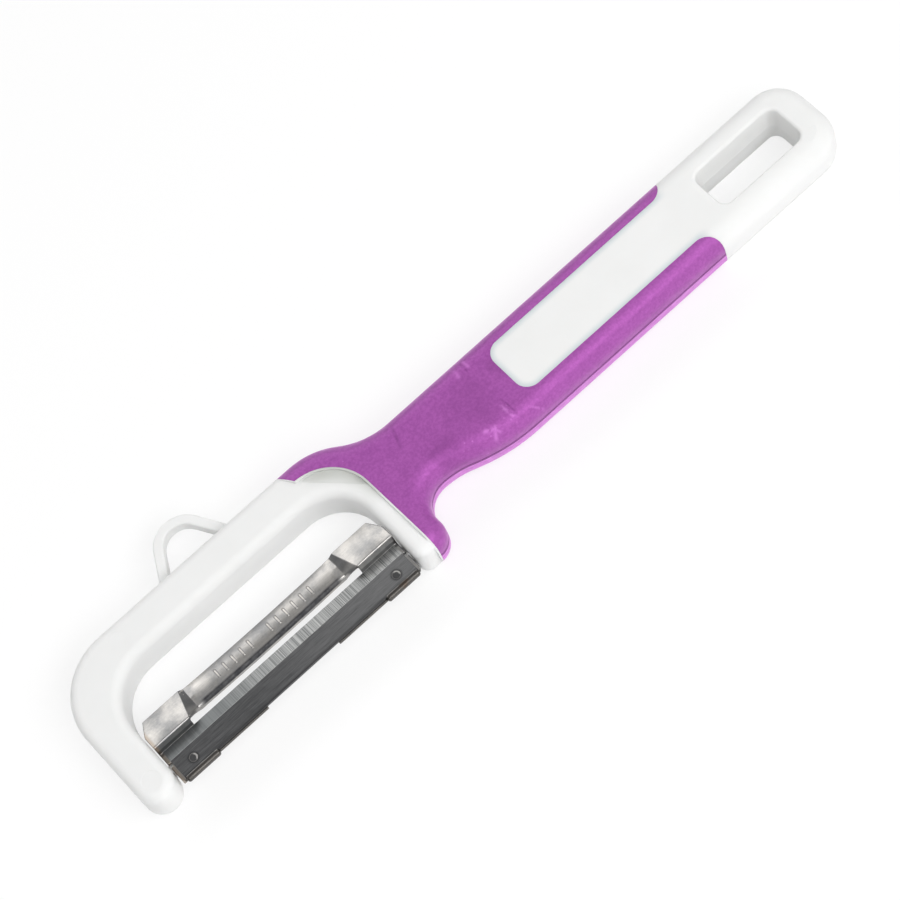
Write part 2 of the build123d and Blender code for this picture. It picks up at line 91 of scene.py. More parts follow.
# %% Camera
view_pan = math.radians(8.7)
view_tilt = math.radians(25.7)
view_roll = math.radians(45.65)
view_distance = 0.6363
origin_right = 0.9 * mm
origin_up = 5.3 * mm
lens_length = 129.2
sensor_width = 36.0

turn = (
    Matrix.Rotation(view_roll, 3, "Z")
    @ Matrix.Rotation(-view_tilt, 3, "X")
    @ Matrix.Rotation(view_pan, 3, "Y")
)
eye = turn.transposed() @ -Vector((origin_right, origin_up, -view_distance))
camera = bpy.data.objects.new("camera", bpy.data.cameras.new("camera"))
bpy.context.collection.objects.link(camera)
camera.data.lens = lens_length
camera.data.sensor_width = sensor_width
camera.data.clip_start = view_distance / 100
camera.matrix_world = Matrix.Translation(eye) @ turn.transposed().to_4x4()
bpy.context.scene.camera = camera
bpy.context.scene.view_settings.view_transform = "Standard"
print("camera at, mm:", in_mm(eye))

# %% [markdown]
# ## Small helpers for shader nodes
# Every finish below is a node tree. Writing each node out takes five lines, so a few helpers make a node
# and fill its sockets: a plain value is set, and a socket of another node is linked. With them a finish
# reads from top to bottom like a recipe. Most masks fade, and a named pair of values then says where the
# mask starts and where it is full. A pair of strengths or of roughnesses holds the values at both ends.

# %% Node helpers
def fill(made, values):
    """Sets or links the inputs of a node by name or number."""
    for key, value in values.items():
        if isinstance(value, bpy.types.NodeSocket):
            made.id_data.links.new(value, made.inputs[key])
        else:
            made.inputs[key].default_value = value


def node(tree, kind, values=None, **settings):
    """Adds a node with its options and inputs."""
    made = tree.nodes.new(kind)
    for name, value in settings.items():
        setattr(made, name, value)
    fill(made, values or {})
    return made


def calc(tree, operation, first, second=0.0):
    """The result of one sum."""
    return node(tree, "ShaderNodeMath", {0: first, 1: second}, operation=operation).outputs[0]


def times(tree, first, second):
    """The product of two values."""
    return calc(tree, "MULTIPLY", first, second)


def apart(tree, first, second):
    """How far two values lie apart."""
    return calc(tree, "ABSOLUTE", calc(tree, "SUBTRACT", first, second))


def larger(tree, first, second):
    """The larger of two values, which joins two masks."""
    return calc(tree, "MAXIMUM", first, second)


def ramp(tree, value, low, high, to_low=0.0, to_high=1.0):
    """A smooth step from to_low to to_high while value goes from low to high."""
    values = {"Value": value, "From Min": low, "From Max": high, "To Min": to_low, "To Max": to_high}
    made = node(tree, "ShaderNodeMapRange", values, interpolation_type="SMOOTHSTEP")
    return made.outputs["Result"]


def between(tree, mask, low, high):
    """Low where the mask is 0, high where it is 1, and a smooth step between them."""
    return ramp(tree, mask, 0.0, 1.0, low, high)


def noise_of(tree, vector, size, detail, roughness=0.5):
    """Noise whose largest features have the given size."""
    values = {"Vector": vector, "Scale": calc(tree, "DIVIDE", 1.0, size), "Detail": detail,
              "Roughness": roughness}
    return node(tree, "ShaderNodeTexNoise", values).outputs[0]


def tint(tree, factor, first, second):
    """The first colour where factor is 0, and the second where it is 1."""
    return node(tree, "ShaderNodeMix", {0: factor, 6: first, 7: second}, data_type="RGBA").outputs[2]


def coat(tree, colour, mask, over, strength=1.0):
    """Lays a second colour over the first where the mask says, at the given strength."""
    return tint(tree, times(tree, mask, strength), colour, over)


def bumped(tree, height, strength, depth):
    """The way the surface faces after a bump of that depth."""
    values = {"Height": height, "Strength": strength, "Distance": depth}
    return node(tree, "ShaderNodeBump", values).outputs[0]


def place_of(tree):
    """The point being shaded, in the part's own metres, whole and split into X, Y and Z."""
    place = node(tree, "ShaderNodeTexCoord").outputs["Object"]
    return place, node(tree, "ShaderNodeSeparateXYZ", {0: place}).outputs


def facing_of(tree):
    """The direction that the surface faces, in the part's own axes, split into X, Y and Z."""
    facing = node(tree, "ShaderNodeTexCoord").outputs["Normal"]
    return node(tree, "ShaderNodeSeparateXYZ", {0: facing}).outputs


def new_group(name, inputs, outputs):
    """An empty node group with named sockets, and its input sockets and output node."""
    tree = bpy.data.node_groups.new(name, "ShaderNodeTree")
    for socket, kind in inputs.items():
        tree.interface.new_socket(name=socket, in_out="INPUT", socket_type="NodeSocket" + kind)
    for socket, kind in outputs.items():
        tree.interface.new_socket(name=socket, in_out="OUTPUT", socket_type="NodeSocket" + kind)
    return tree, tree.nodes.new("NodeGroupInput").outputs, tree.nodes.new("NodeGroupOutput")


def use(tree, group, **values):
    """Places a group in a material with its own values, and gives its outputs."""
    made = node(tree, "ShaderNodeGroup", node_tree=group)
    fill(made, values)
    return made.outputs


def new_material(name):
    """A material with a Principled shader, ready to be fed."""
    material = bpy.data.materials.new(name)
    material.use_nodes = True
    return material, material.node_tree, material.node_tree.nodes["Principled BSDF"]


def dress(name, material):
    """Gives one of the solids its finish."""
    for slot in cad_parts[name].material_slots:
        slot.material = material


print("node helpers ready")

# %% [markdown]
# ## Grain
# A mould leaves a fine roughness, a fraction of a millimetre across, and a drum leaves dents a little
# wider. Noise of that size gives the height for a bump. Sizes in all the groups are real, in metres,
# because the coordinates are the part's own. Image textures could do the same, but they would have to be
# unwrapped and would stop at their last pixel.

# %% Group: grain
def build_grain():
    tree, given, result = new_group("grain", {"Size": "Float"}, {"Height": "Float"})
    place, _ = place_of(tree)
    fill(result, {"Height": noise_of(tree, place, given["Size"], detail=3.0)})
    return tree


grain = build_grain()
print("group:", grain.name)

# %% [markdown]
# ## Clouds
# No surface has one even colour. Clouds are slow noise, stretched to a chosen contrast, that leads from
# a darker to a lighter tone. The mask is put out as well, so that the gloss can follow the same clouds.

# %% Group: clouds
def contrast_ramp(tree, value, contrast):
    """Stretches noise about its middle, the more the higher the contrast."""
    reach = calc(tree, "DIVIDE", 0.5, contrast)
    return ramp(tree, value, calc(tree, "SUBTRACT", 0.5, reach), calc(tree, "ADD", 0.5, reach))


def build_clouds():
    inputs = {"Size": "Float", "Contrast": "Float", "Dark": "Color", "Light": "Color"}
    tree, given, result = new_group("clouds", inputs, {"Color": "Color", "Mask": "Float"})
    place, _ = place_of(tree)
    pattern = noise_of(tree, place, given["Size"], detail=4.0, roughness=0.62)
    mask = contrast_ramp(tree, pattern, given["Contrast"])
    fill(result, {"Color": tint(tree, mask, given["Dark"], given["Light"]), "Mask": mask})
    return tree


clouds = build_clouds()
print("group:", clouds.name)

# %% [markdown]
# ## Specks
# Dust in the moulding and pale rubbed dots are small, round and scattered. A Voronoi pattern places one
# point in each cell of a honeycomb, and the colour of the cell serves as a lottery ticket: only a share
# of the cells gets its dot.

# %% Group: specks
def build_specks():
    inputs = {"Spacing": "Float", "Radius": "Float", "Share": "Float"}
    tree, given, result = new_group("specks", inputs, {"Mask": "Float"})
    place, _ = place_of(tree)
    scale = calc(tree, "DIVIDE", 1.0, given["Spacing"])
    cells = node(tree, "ShaderNodeTexVoronoi", {"Vector": place, "Scale": scale})
    distance = times(tree, cells.outputs["Distance"], given["Spacing"])
    ticket = node(tree, "ShaderNodeSeparateColor", {0: cells.outputs["Color"]}).outputs[0]
    wins = calc(tree, "LESS_THAN", ticket, given["Share"])
    fill(result, {"Mask": times(tree, ramp(tree, distance, given["Radius"], 0.0), wins)})
    return tree


specks = build_specks()
print("group:", specks.name)

# %% [markdown]
# ## Strokes
# Brushing, grinding and scratches are noise drawn out along one axis. The coordinates are divided by a
# different size along X than across it, and the noise then stretches with them.

# %% Group: strokes
def build_strokes():
    inputs = {"Along": "Float", "Across": "Float", "Contrast": "Float"}
    tree, given, result = new_group("strokes", inputs, {"Mask": "Float"})
    _, at = place_of(tree)
    values = {
        0: calc(tree, "DIVIDE", at["X"], given["Along"]),
        1: calc(tree, "DIVIDE", at["Y"], given["Across"]),
        2: calc(tree, "DIVIDE", at["Z"], given["Across"]),
    }
    stretched = node(tree, "ShaderNodeCombineXYZ", values).outputs[0]
    pattern = noise_of(tree, stretched, 1.0, detail=3.0, roughness=0.7)
    fill(result, {"Mask": contrast_ramp(tree, pattern, given["Contrast"])})
    return tree


strokes = build_strokes()
print("group:", strokes.name)

# %% [markdown]
# ## Blot
# A stain or a rubbed patch lies at one place and has a ragged edge. The distance from its centre, made
# uneven by noise, fades from 1 in the middle to 0 at the rim. The distance is taken as seen from above,
# so that a mark drapes over a curved surface, and a limit of depth keeps it off the back.

# %% Group: blot
mark_depth = 4 * mm
blot_core_share = 0.3


def flat_offset(tree, centre):
    """The offset from a centre as seen from above, its length, and the height over the centre."""
    place, _ = place_of(tree)
    offset = node(tree, "ShaderNodeVectorMath", {0: place, 1: centre}, operation="SUBTRACT").outputs[0]
    values = {0: offset, 1: (1.0, 1.0, 0.0)}
    flat = node(tree, "ShaderNodeVectorMath", values, operation="MULTIPLY").outputs[0]
    length = node(tree, "ShaderNodeVectorMath", {0: flat}, operation="LENGTH").outputs["Value"]
    return flat, length, node(tree, "ShaderNodeSeparateXYZ", {0: offset}).outputs["Z"]


def dot(tree, first, second):
    """How far one vector reaches along another."""
    values = {0: first, 1: second}
    return node(tree, "ShaderNodeVectorMath", values, operation="DOT_PRODUCT").outputs["Value"]


def off_the_back(tree, mask, rise):
    """Keeps a mask to what lies no deeper than a mark reaches."""
    return times(tree, mask, calc(tree, "GREATER_THAN", rise, -mark_depth))


def build_blot():
    inputs = {"Centre": "Vector", "Radius": "Float", "Ragged": "Float"}
    tree, given, result = new_group("blot", inputs, {"Mask": "Float"})
    place, _ = place_of(tree)
    pattern = noise_of(tree, place, times(tree, given["Radius"], 0.5), detail=4.0)
    _, away, rise = flat_offset(tree, given["Centre"])
    share = calc(tree, "DIVIDE", away, given["Radius"])
    uneven = times(tree, calc(tree, "SUBTRACT", pattern, 0.5), given["Ragged"])
    patch = ramp(tree, calc(tree, "ADD", share, uneven), 1.0, blot_core_share)
    fill(result, {"Mask": off_the_back(tree, patch, rise)})
    return tree


blot = build_blot()
print("group:", blot.name)

# %% [markdown]
# ## Scratch
# A single scratch has a place, a direction, a length and a width, and it breaks up along its way. The
# offset from its centre is split into the part along the scratch and the part across it. Where noise is
# below the lower of two levels, the scratch has a gap, and above the upper one it is whole.

# %% Group: scratch
gap_levels = (0.32, 0.56)


def build_scratch():
    inputs = {"Centre": "Vector", "Direction": "Vector", "Length": "Float", "Width": "Float"}
    tree, given, result = new_group("scratch", inputs, {"Mask": "Float"})
    place, _ = place_of(tree)
    offset, length, rise = flat_offset(tree, given["Centre"])
    along = dot(tree, offset, given["Direction"])
    square = calc(tree, "SUBTRACT", times(tree, length, length), times(tree, along, along))
    across = calc(tree, "SQRT", larger(tree, square, 0.0))
    pattern = noise_of(tree, place, given["Width"], detail=3.0)
    broken = off_the_back(tree, ramp(tree, pattern, *gap_levels), rise)
    sides = ramp(tree, across, times(tree, given["Width"], 0.5), 0.0)
    half_length = times(tree, given["Length"], 0.5)
    ends = ramp(tree, calc(tree, "ABSOLUTE", along), half_length, times(tree, half_length, 0.5))
    fill(result, {"Mask": times(tree, times(tree, sides, ends), broken)})
    return tree


scratch = build_scratch()
print("group:", scratch.name)

# %% [markdown]
# ## Rubbed edges and dark creases
# Handling and the tumbling drum rub whatever sticks out. The renderer knows how convex the mesh is at
# each vertex, and this group turns that into two masks: one for the edges, which the carrier paints
# lighter, partly as rubbing and partly as the highlight along them, and one for the folds, which it
# paints darker as shade. It needs a dense mesh, so only the carrier uses it, which gets such a mesh
# further down.

# %% Group: edges and creases
def build_edges_and_creases():
    inputs = {"Start": "Float", "Full": "Float"}
    tree, given, result = new_group("edges and creases", inputs, {"Edges": "Float", "Creases": "Float"})
    sharpness = node(tree, "ShaderNodeNewGeometry").outputs["Pointiness"]
    hollow = calc(tree, "SUBTRACT", 1.0, sharpness)
    fill(result, {
        "Edges": ramp(tree, sharpness, given["Start"], given["Full"]),
        "Creases": ramp(tree, hollow, given["Start"], given["Full"]),
    })
    return tree


edges_and_creases = build_edges_and_creases()
print("group:", edges_and_creases.name)

# %% [markdown]
# ## Stake mark
# Where the punch spread the carrier's metal over the blade, it left a slightly tilted head with a small
# bead on one side. The mark is a disc of painted shade with a crescent of painted glint on one side. The
# carrier wears it on its stakes, and the blade wears a wider one round them, as painted shade only. Its
# sizes are shares of the mark's radius.

# %% Group: stake mark
head_rim_shares = (1.25, 0.7)
head_depth = 0.02 * mm
glint_side_shares = (0.1, 0.6)
glint_ring_share = 0.75
glint_width_shares = (0.3, 0.05)


def build_stake_mark():
    inputs = {"Centre": "Vector", "Direction": "Vector", "Radius": "Float"}
    tree, given, result = new_group("stake mark", inputs, {"Head": "Float", "Glint": "Float"})
    flat, away, rise = flat_offset(tree, given["Centre"])
    share = calc(tree, "DIVIDE", away, given["Radius"])
    on_top = calc(tree, "GREATER_THAN", rise, -head_depth)
    head = times(tree, ramp(tree, share, *head_rim_shares), on_top)
    side = calc(tree, "DIVIDE", dot(tree, flat, given["Direction"]), given["Radius"])
    side = ramp(tree, side, *glint_side_shares)
    ring = ramp(tree, apart(tree, share, glint_ring_share), *glint_width_shares)
    fill(result, {"Head": head, "Glint": times(tree, times(tree, head, ring), side)})
    return tree


stake_mark = build_stake_mark()
print("group:", stake_mark.name)

# %% [markdown]
# ## White plastic
# The frame is a stiff white plastic with a satin skin. It is a little translucent, so light creeps into
# its thin edges, which subsurface scattering shows. A plain diffuse white would look like painted card.
# It isn't one flat white: slightly darker and lighter clouds run through it, with a few dark specks that
# the moulder didn't catch. Along the grip the panel's border is painted a cooler grey, as the shade where
# it meets the grip. The hollow beside the grip's curved edge is painted grey, as shade that its shallow
# shape casts only faintly, and a hair of a line at half height marks where the two mould halves met.
# Each layer is a mask, and a coat of another colour is laid over the last one where the mask says.

# %% Places on the frame, and its whites
panel_start = frame_low.x + 106.9 * mm
panel_half_width = 6.4 * mm
panel_corner = 3.2 * mm
panel_centre = frame_low.y + 18.1 * mm
edge_shade_width = 1.5 * mm
edge_shade_fade = 3 * mm
hollow_centre = (frame_low.x + 60.35 * mm, frame_low.y + 17.75 * mm, frame_high.z)
hollow_middle = (0.85, 0.53, 0.0)
hollow_inside = (9.4 * mm, 13.6 * mm)
hollow_rim = (14.9 * mm, 14.4 * mm)
hollow_ahead_shares = (0.66, 0.94)
flash_fade = (0.09 * mm, 0.02 * mm)
flash_slopes = (0.6, 0.3)
flash_relief = 2.5
skin_grain = 0.35 * mm
satin_gloss = (0.42, 0.54)

shaded_white = (0.845, 0.848, 0.84, 1.0)
clean_white = (0.875, 0.877, 0.872, 1.0)
panel_edge_shade_white = (0.60, 0.675, 0.70, 1.0)
hollow_shade_white = (0.62, 0.63, 0.60, 1.0)
trapped_dirt = (0.25, 0.24, 0.22, 1.0)
print("panel centre line at, mm:", round(panel_centre / mm, 2))

# %% Masks for the white plastic
def hollow_shade(tree):
    """1 in the crescent beside the grip's curved edge, where the head is hollowed and shade is painted,
    fading inwards.
    """
    flat, length, rise = flat_offset(tree, hollow_centre)
    ahead = calc(tree, "DIVIDE", dot(tree, flat, hollow_middle), length)
    shade = times(tree, ramp(tree, length, *hollow_inside), ramp(tree, length, *hollow_rim))
    shade = times(tree, shade, ramp(tree, ahead, *hollow_ahead_shares))
    return off_the_back(tree, shade, rise)


def panel_edge_shade(tree, at):
    """1 along the panel's border with the grip, where shade is painted, fading to 0 inside it."""
    past_corner = calc(tree, "SUBTRACT", panel_start + panel_corner, at["X"])
    past_side = apart(tree, at["Y"], panel_centre)
    past_side = calc(tree, "SUBTRACT", past_side, panel_half_width - panel_corner)
    past_corner = larger(tree, past_corner, 0.0)
    past_side = larger(tree, past_side, 0.0)
    reach = calc(tree, "ADD", times(tree, past_corner, past_corner), times(tree, past_side, past_side))
    inside = calc(tree, "SUBTRACT", panel_corner, calc(tree, "SQRT", reach))
    near = ramp(tree, inside, edge_shade_width, 0.0)
    near = times(tree, near, ramp(tree, at["X"], grip_high.x, grip_high.x - edge_shade_fade))
    return times(tree, near, calc(tree, "GREATER_THAN", at["X"], panel_start))


def parting_line(tree, at, fade, slopes):
    """1 on the line at half height where the mould halves met, on the upright sides only."""
    line = ramp(tree, apart(tree, at["Z"], mid_height), *fade)
    slope = calc(tree, "ABSOLUTE", facing_of(tree)["Z"])
    return times(tree, line, ramp(tree, slope, *slopes))


print("hollow, mm wide:", round((hollow_rim[1] - hollow_inside[0]) / mm, 1))

# %% White plastic finish
def make_white_plastic():
    material, tree, shader = new_material("white plastic")
    _, at = place_of(tree)
    tone = use(tree, clouds, Size=16 * mm, Contrast=1.8, Dark=shaded_white, Light=clean_white)
    # The panel's border beside the grip is painted a cooler grey, as shade.
    colour = coat(tree, tone["Color"], panel_edge_shade(tree, at), panel_edge_shade_white, strength=0.75)
    # The hollow beside the grip's curved edge is painted grey, as shade.
    colour = coat(tree, colour, hollow_shade(tree), hollow_shade_white)
    dirt = use(tree, specks, Spacing=11 * mm, Radius=0.12 * mm, Share=0.35)["Mask"]
    colour = coat(tree, colour, dirt, trapped_dirt, strength=0.55)
    smears = use(tree, strokes, Along=9 * mm, Across=3 * mm, Contrast=2.0)["Mask"]
    skin = use(tree, grain, Size=skin_grain)["Height"]
    flash = parting_line(tree, at, flash_fade, flash_slopes)
    relief = calc(tree, "ADD", skin, times(tree, flash, flash_relief))
    bump = bumped(tree, relief, strength=0.3, depth=0.012 * mm)
    fill(shader, {
        "Base Color": colour, "Roughness": between(tree, smears, *satin_gloss),
        "Specular IOR Level": 0.2, "Subsurface Weight": 0.35,
        "Subsurface Radius": (1.0, 0.97, 0.94), "Subsurface Scale": 1.6 * mm,
        "Normal": bump,
    })
    return material


white_plastic = make_white_plastic()
dress("frame", white_plastic)
print("frame wears:", white_plastic.name)

# %% [markdown]
# ## Purple grip
# The grip is a soft rubber. Its colour is mottled at two scales, finely all over and slowly along the
# handle. Use has left pale dots, a few scuffs where it knocked against the drawer, and a crease across
# the neck, which is painted darker as the shade in its fold. A few broad patches are painted darker as
# shade. The groove of the mould's parting line at half height is painted dark as shade, and the side
# below it is painted paler, as the light on the side that faces down.
# The dye tints even the gloss, so the highlight along the lower side is a brighter purple and not white.
# Sheen stands for the bloom on parts that curve away.

# %% Places on the grip, and its purples
light_scuffs = (
    # place across the grip's front in mm, direction, length and width in mm, strength
    ((5.3, 2.3), (0.0, 1.0), 3.4, 1.6, 0.4),
    ((8.1, 2.6), (0.0, 1.0), 3.2, 1.2, 0.4),
    ((7.1, -11.0), (-0.15, 0.99), 4.6, 1.2, 0.5),
    ((2.0, -11.4), (0.9, -0.44), 3.4, 1.3, 0.5),
    ((2.6, -12.4), (0.7, 0.71), 3.4, 1.3, 0.5),
    ((3.0, -12.2), (-0.5, 0.87), 2.6, 1.0, 0.4),
    ((11.8, -13.9), (0.8, -0.6), 3.4, 0.8, 0.35),
    ((-1.2, -13.6), (0.7, 0.71), 2.4, 0.8, 0.35),
)
# Creases, painted darker as the shade in their folds, and bumped a little.
dark_creases = (
    ((-11.8, 0.6), (0.33, 0.944), 7.0, 1.2, 0.45),
    ((7.3, 2.2), (0.0, 1.0), 3.6, 0.7, 0.5),
    ((8.1, -10.8), (-0.08, 0.997), 6.4, 0.8, 0.55),
)
# place across the grip's front in mm, radius in mm, strength
rubbed_patches = (((2.4, -11.9), 2.4, 0.7), ((-3.0, -11.0), 2.0, 0.5), ((7.0, -11.4), 2.6, 0.4))
# The shaded patches are painted darker, as shade.
shaded_patches = (((-6.8, -8.6), 4.6, 0.3), ((12.4, -2.6), 3.4, 0.25), ((3.5, -4.0), 7.0, 0.16))
rubbed_ragged = 2.4
shaded_ragged = 1.6
grip_front = frame_high.z - 0.2 * mm
groove_shade_fade = (0.46 * mm, 0.26 * mm)
groove_shade_slopes = (0.95, 0.8)
lower_light_fade = 0.25 * mm
lower_light_streaks = (0.6, 0.95)
crease_relief = 3.0
rubber_gloss = (0.46, 0.33)

slow_dark = (0.305, 0.076, 0.322, 1.0)
slow_light = (0.365, 0.096, 0.375, 1.0)
fine_dark = (0.265, 0.066, 0.28, 1.0)
fine_light = (0.42, 0.112, 0.43, 1.0)
fine_share = 0.5
pale_and_lit_purple = (0.70, 0.26, 0.72, 1.0)
shade_purple = (0.13, 0.028, 0.14, 1.0)
gloss_tint = (1.0, 0.30, 1.0, 1.0)
bloom_tint = (1.0, 0.45, 1.0, 1.0)
print("scuffs and creases:", len(light_scuffs), len(dark_creases))

# %% Masks for the grip
def marks(tree, scratches, height):
    """One mask for a list of scratches, on the front of the part only."""
    total = 0.0
    for (x, y), (dx, dy), length, width, strength in scratches:
        line = use(tree, scratch, Centre=(x * mm, y * mm, height), Direction=(dx, dy, 0.0),
                   Length=length * mm, Width=width * mm)["Mask"]
        total = larger(tree, times(tree, line, strength), total)
    return total


def grip_patch(tree, place, radius, ragged):
    """A blot on the grip's front, with its place and radius in mm."""
    centre = (place[0] * mm, place[1] * mm, grip_front)
    return use(tree, blot, Centre=centre, Radius=radius * mm, Ragged=ragged)["Mask"]


print("patches:", len(rubbed_patches) + len(shaded_patches))

# %% Purple grip finish
def make_purple_grip():
    material, tree, shader = new_material("purple grip")
    _, at = place_of(tree)
    slow = use(tree, clouds, Size=12 * mm, Contrast=2.0, Dark=slow_dark, Light=slow_light)
    fine = use(tree, clouds, Size=0.6 * mm, Contrast=2.6, Dark=fine_dark, Light=fine_light)
    colour = tint(tree, fine_share, slow["Color"], fine["Color"])
    dust = use(tree, specks, Spacing=3.2 * mm, Radius=0.2 * mm, Share=0.3)["Mask"]
    colour = coat(tree, colour, dust, pale_and_lit_purple, strength=0.5)
    scuffed = marks(tree, light_scuffs, grip_front)
    flecks = use(tree, specks, Spacing=0.7 * mm, Radius=0.3 * mm, Share=0.5)["Mask"]
    for place, radius, strength in rubbed_patches:
        patch = times(tree, grip_patch(tree, place, radius, rubbed_ragged), flecks)
        scuffed = larger(tree, scuffed, times(tree, patch, strength))
    colour = coat(tree, colour, scuffed, pale_and_lit_purple)
    # Broad patches painted darker, as shade.
    for place, radius, strength in shaded_patches:
        colour = coat(tree, colour, grip_patch(tree, place, radius, shaded_ragged), shade_purple, strength)
    # The creases are painted darker, as the shade in their folds.
    creased = marks(tree, dark_creases, grip_front)
    colour = coat(tree, colour, creased, shade_purple)
    # Below the parting line the side is painted paler, as painted light on the side that faces down.
    below_line = ramp(tree, at["Z"], mid_height, mid_height - lower_light_fade)
    lower_streaks = use(tree, strokes, Along=2.5 * mm, Across=0.6 * mm, Contrast=3.0)["Mask"]
    lower_light = times(tree, below_line, between(tree, lower_streaks, *lower_light_streaks))
    colour = coat(tree, colour, lower_light, pale_and_lit_purple)
    # The parting line's groove is painted dark, as the shade in it.
    colour = coat(tree, colour, parting_line(tree, at, groove_shade_fade, groove_shade_slopes), shade_purple)
    skin = use(tree, grain, Size=skin_grain)["Height"]
    handled = use(tree, clouds, Size=2.2 * mm, Contrast=2.4)["Mask"]
    relief = calc(tree, "SUBTRACT", skin, times(tree, creased, crease_relief))
    bump = bumped(tree, relief, strength=0.5, depth=0.03 * mm)
    fill(shader, {
        "Base Color": colour, "Roughness": between(tree, handled, *rubber_gloss),
        "Specular IOR Level": 0.9, "Specular Tint": gloss_tint,
        "Sheen Weight": 0.6, "Sheen Roughness": 0.3, "Sheen Tint": bloom_tint,
        "Normal": bump,
    })
    return material


purple_grip = make_purple_grip()
dress("soft_grip", purple_grip)
print("purple grip, mm long:", round((grip_high.x - grip_low.x) / mm, 1))

# %% [markdown]
# ## Pressed steel of the carrier
# The carrier is stamped from stainless sheet and has been tumbled, so it is satin and finely mottled.
# Its open edges and the crests of its ridges are painted lighter, partly as the drum's rubbing and
# partly as the highlight along them, and a few patches on the sheet are painted light as highlights.
# The slanted steps beside the bar, the walls under the shoulders, the far side of the bar's middle,
# the folds, the foot of the walls and the line where the bar turns down to its lip are painted dark, as
# shade and dark reflection. Juice has dried at the outer end and left a tan tint there and a trace of
# brown at one fold, and along the back the sheet is painted a dark tan. Each stake mark is a disc of
# painted shade with a painted glint. Every mask is worked out from a place on the sheet, from the way it
# faces or from how sharply it bends, so nothing has to be painted into a texture or unwrapped.

# %% Places on the carrier
stake_inset = 4.5 * mm
stake_from_back = 2.2 * mm
stake_radius = 0.95 * mm
stakes = (
    # place, and the side of the painted glint and of the bead
    ((carrier_low.x + stake_inset, blade_low.y + stake_from_back, blade_high.z), (1.0, -0.1, 0.0)),
    ((carrier_high.x - stake_inset, blade_low.y + stake_from_back, blade_high.z), (0.8, 0.6, 0.0)),
)
# Patches painted light, as highlights on the sheet.
highlight_patches = (
    # place from the carrier's middle and from the cutting edge in mm, radius in mm, strength
    ((-15.6, 5.2), 2.6, 0.7), ((-11.0, 4.2), 2.2, 0.2), ((15.4, 4.6), 3.0, 0.65), ((8.0, 3.6), 2.4, 0.2),
    ((23.6, 4.6), 3.4, 0.3), ((-23.4, 4.2), 3.0, 0.2),
)
highlight_ragged = 1.2
stain_centre = (blade_high.x - 3.9 * mm, blade_low.y + 0.1 * mm, blade_high.z)
outer_end_x = (carrier_low.x + 1.0 * mm, carrier_low.x + 0.35 * mm)
back_y = (blade_low.y + 0.3 * mm, blade_low.y - 0.1 * mm)
foot_z = (blade_high.z + 0.6 * mm, blade_high.z + 0.2 * mm)
foot_reach = (0.9 * mm, 0.5 * mm)
print("trace of brown at, mm:", in_mm(stain_centre))

# %% The lip of the guard bar
bar_half_length = 18.7 * mm
bar_sag = 0.22 * mm
lip_line_y = blade_high.y + 2.0 * mm
lip_line_reach = (0.95 * mm, 0.38 * mm)
lip_end = (bar_half_length - 0.1 * mm, bar_half_length - 2.0 * mm)
lip_patchy = (0.88, 1.0)
lip_search_end = bar_half_length + 0.2 * mm
lip_search_y = (blade_high.y + 1.0 * mm, blade_high.y + 2.0 * mm)
lip_foot = min(
    v.co.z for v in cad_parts["blade_carrier"].data.vertices
    if abs(v.co.x - carrier_middle) < lip_search_end and lip_search_y[0] < v.co.y < lip_search_y[1]
)
lip_z = (lip_foot + 0.35 * mm, lip_foot + 0.6 * mm)


def lip_shade(tree, at):
    """1 along the line where the bar's sheet turns down to its lip, where shade is painted, and follows
    the bar's sag.
    """
    aside = apart(tree, at["X"], carrier_middle)
    share = calc(tree, "DIVIDE", aside, bar_half_length)
    sag = times(tree, calc(tree, "SUBTRACT", 1.0, times(tree, share, share)), bar_sag)
    off_line = apart(tree, calc(tree, "ADD", at["Y"], sag), lip_line_y)
    shade = times(tree, ramp(tree, off_line, *lip_line_reach), ramp(tree, at["Z"], *lip_z))
    patchy = use(tree, clouds, Size=1.3 * mm, Contrast=2.0)["Mask"]
    shade = times(tree, shade, between(tree, patchy, *lip_patchy))
    return times(tree, shade, ramp(tree, aside, *lip_end))


print("foot of the lip above the ground, mm:", round(lip_foot / mm, 2))

# %% The crests of the ridges
ridge_rows = ((-7.7 * mm, 5), (6.7 * mm, 6))
ridge_pitch = 2.1 * mm
ridge_y = blade_high.y + 4.6 * mm
ridge_half_length = 0.85 * mm
crest_fade = (0.26 * mm, 0.08 * mm)
crest_end = (ridge_half_length + 0.15 * mm, ridge_half_length - 0.15 * mm)


def ridge_crest_light(tree, at):
    """1 along the crest of each ridge on the bar, where a highlight is painted."""
    total = 0.0
    on_length = ramp(tree, apart(tree, at["Y"], ridge_y), *crest_end)
    for offset, count in ridge_rows:
        along = calc(tree, "SUBTRACT", at["X"], carrier_middle + offset)
        inside = calc(tree, "LESS_THAN", calc(tree, "ABSOLUTE", along), count / 2 * ridge_pitch)
        place = calc(tree, "ADD", calc(tree, "DIVIDE", along, ridge_pitch), (count - 1) / 2)
        beside = apart(tree, place, calc(tree, "ROUND", place))
        crest = times(tree, ramp(tree, times(tree, beside, ridge_pitch), *crest_fade), inside)
        total = larger(tree, times(tree, crest, on_length), total)
    return total


print("ridges in each row:", [count for _, count in ridge_rows])

# %% Where shade is painted on the carrier
step_slopes = (0.15, 0.4)
step_y = (blade_high.y + 2.0 * mm, blade_high.y + 3.4 * mm)
step_strength = (0.35, 0.75)
wall_slopes = (0.8, 0.55)
wall_start = (19.3 * mm, 19.7 * mm)
wall_y = (blade_low.y + 1.0 * mm, blade_low.y + 2.0 * mm)
wall_strength = 0.55
bar_shade_end = (bar_half_length - 1.5 * mm, bar_half_length - 7.0 * mm)
bar_shade_y = (blade_high.y + 5.0 * mm, blade_high.y + 6.2 * mm)
bar_shade_strength = 0.4


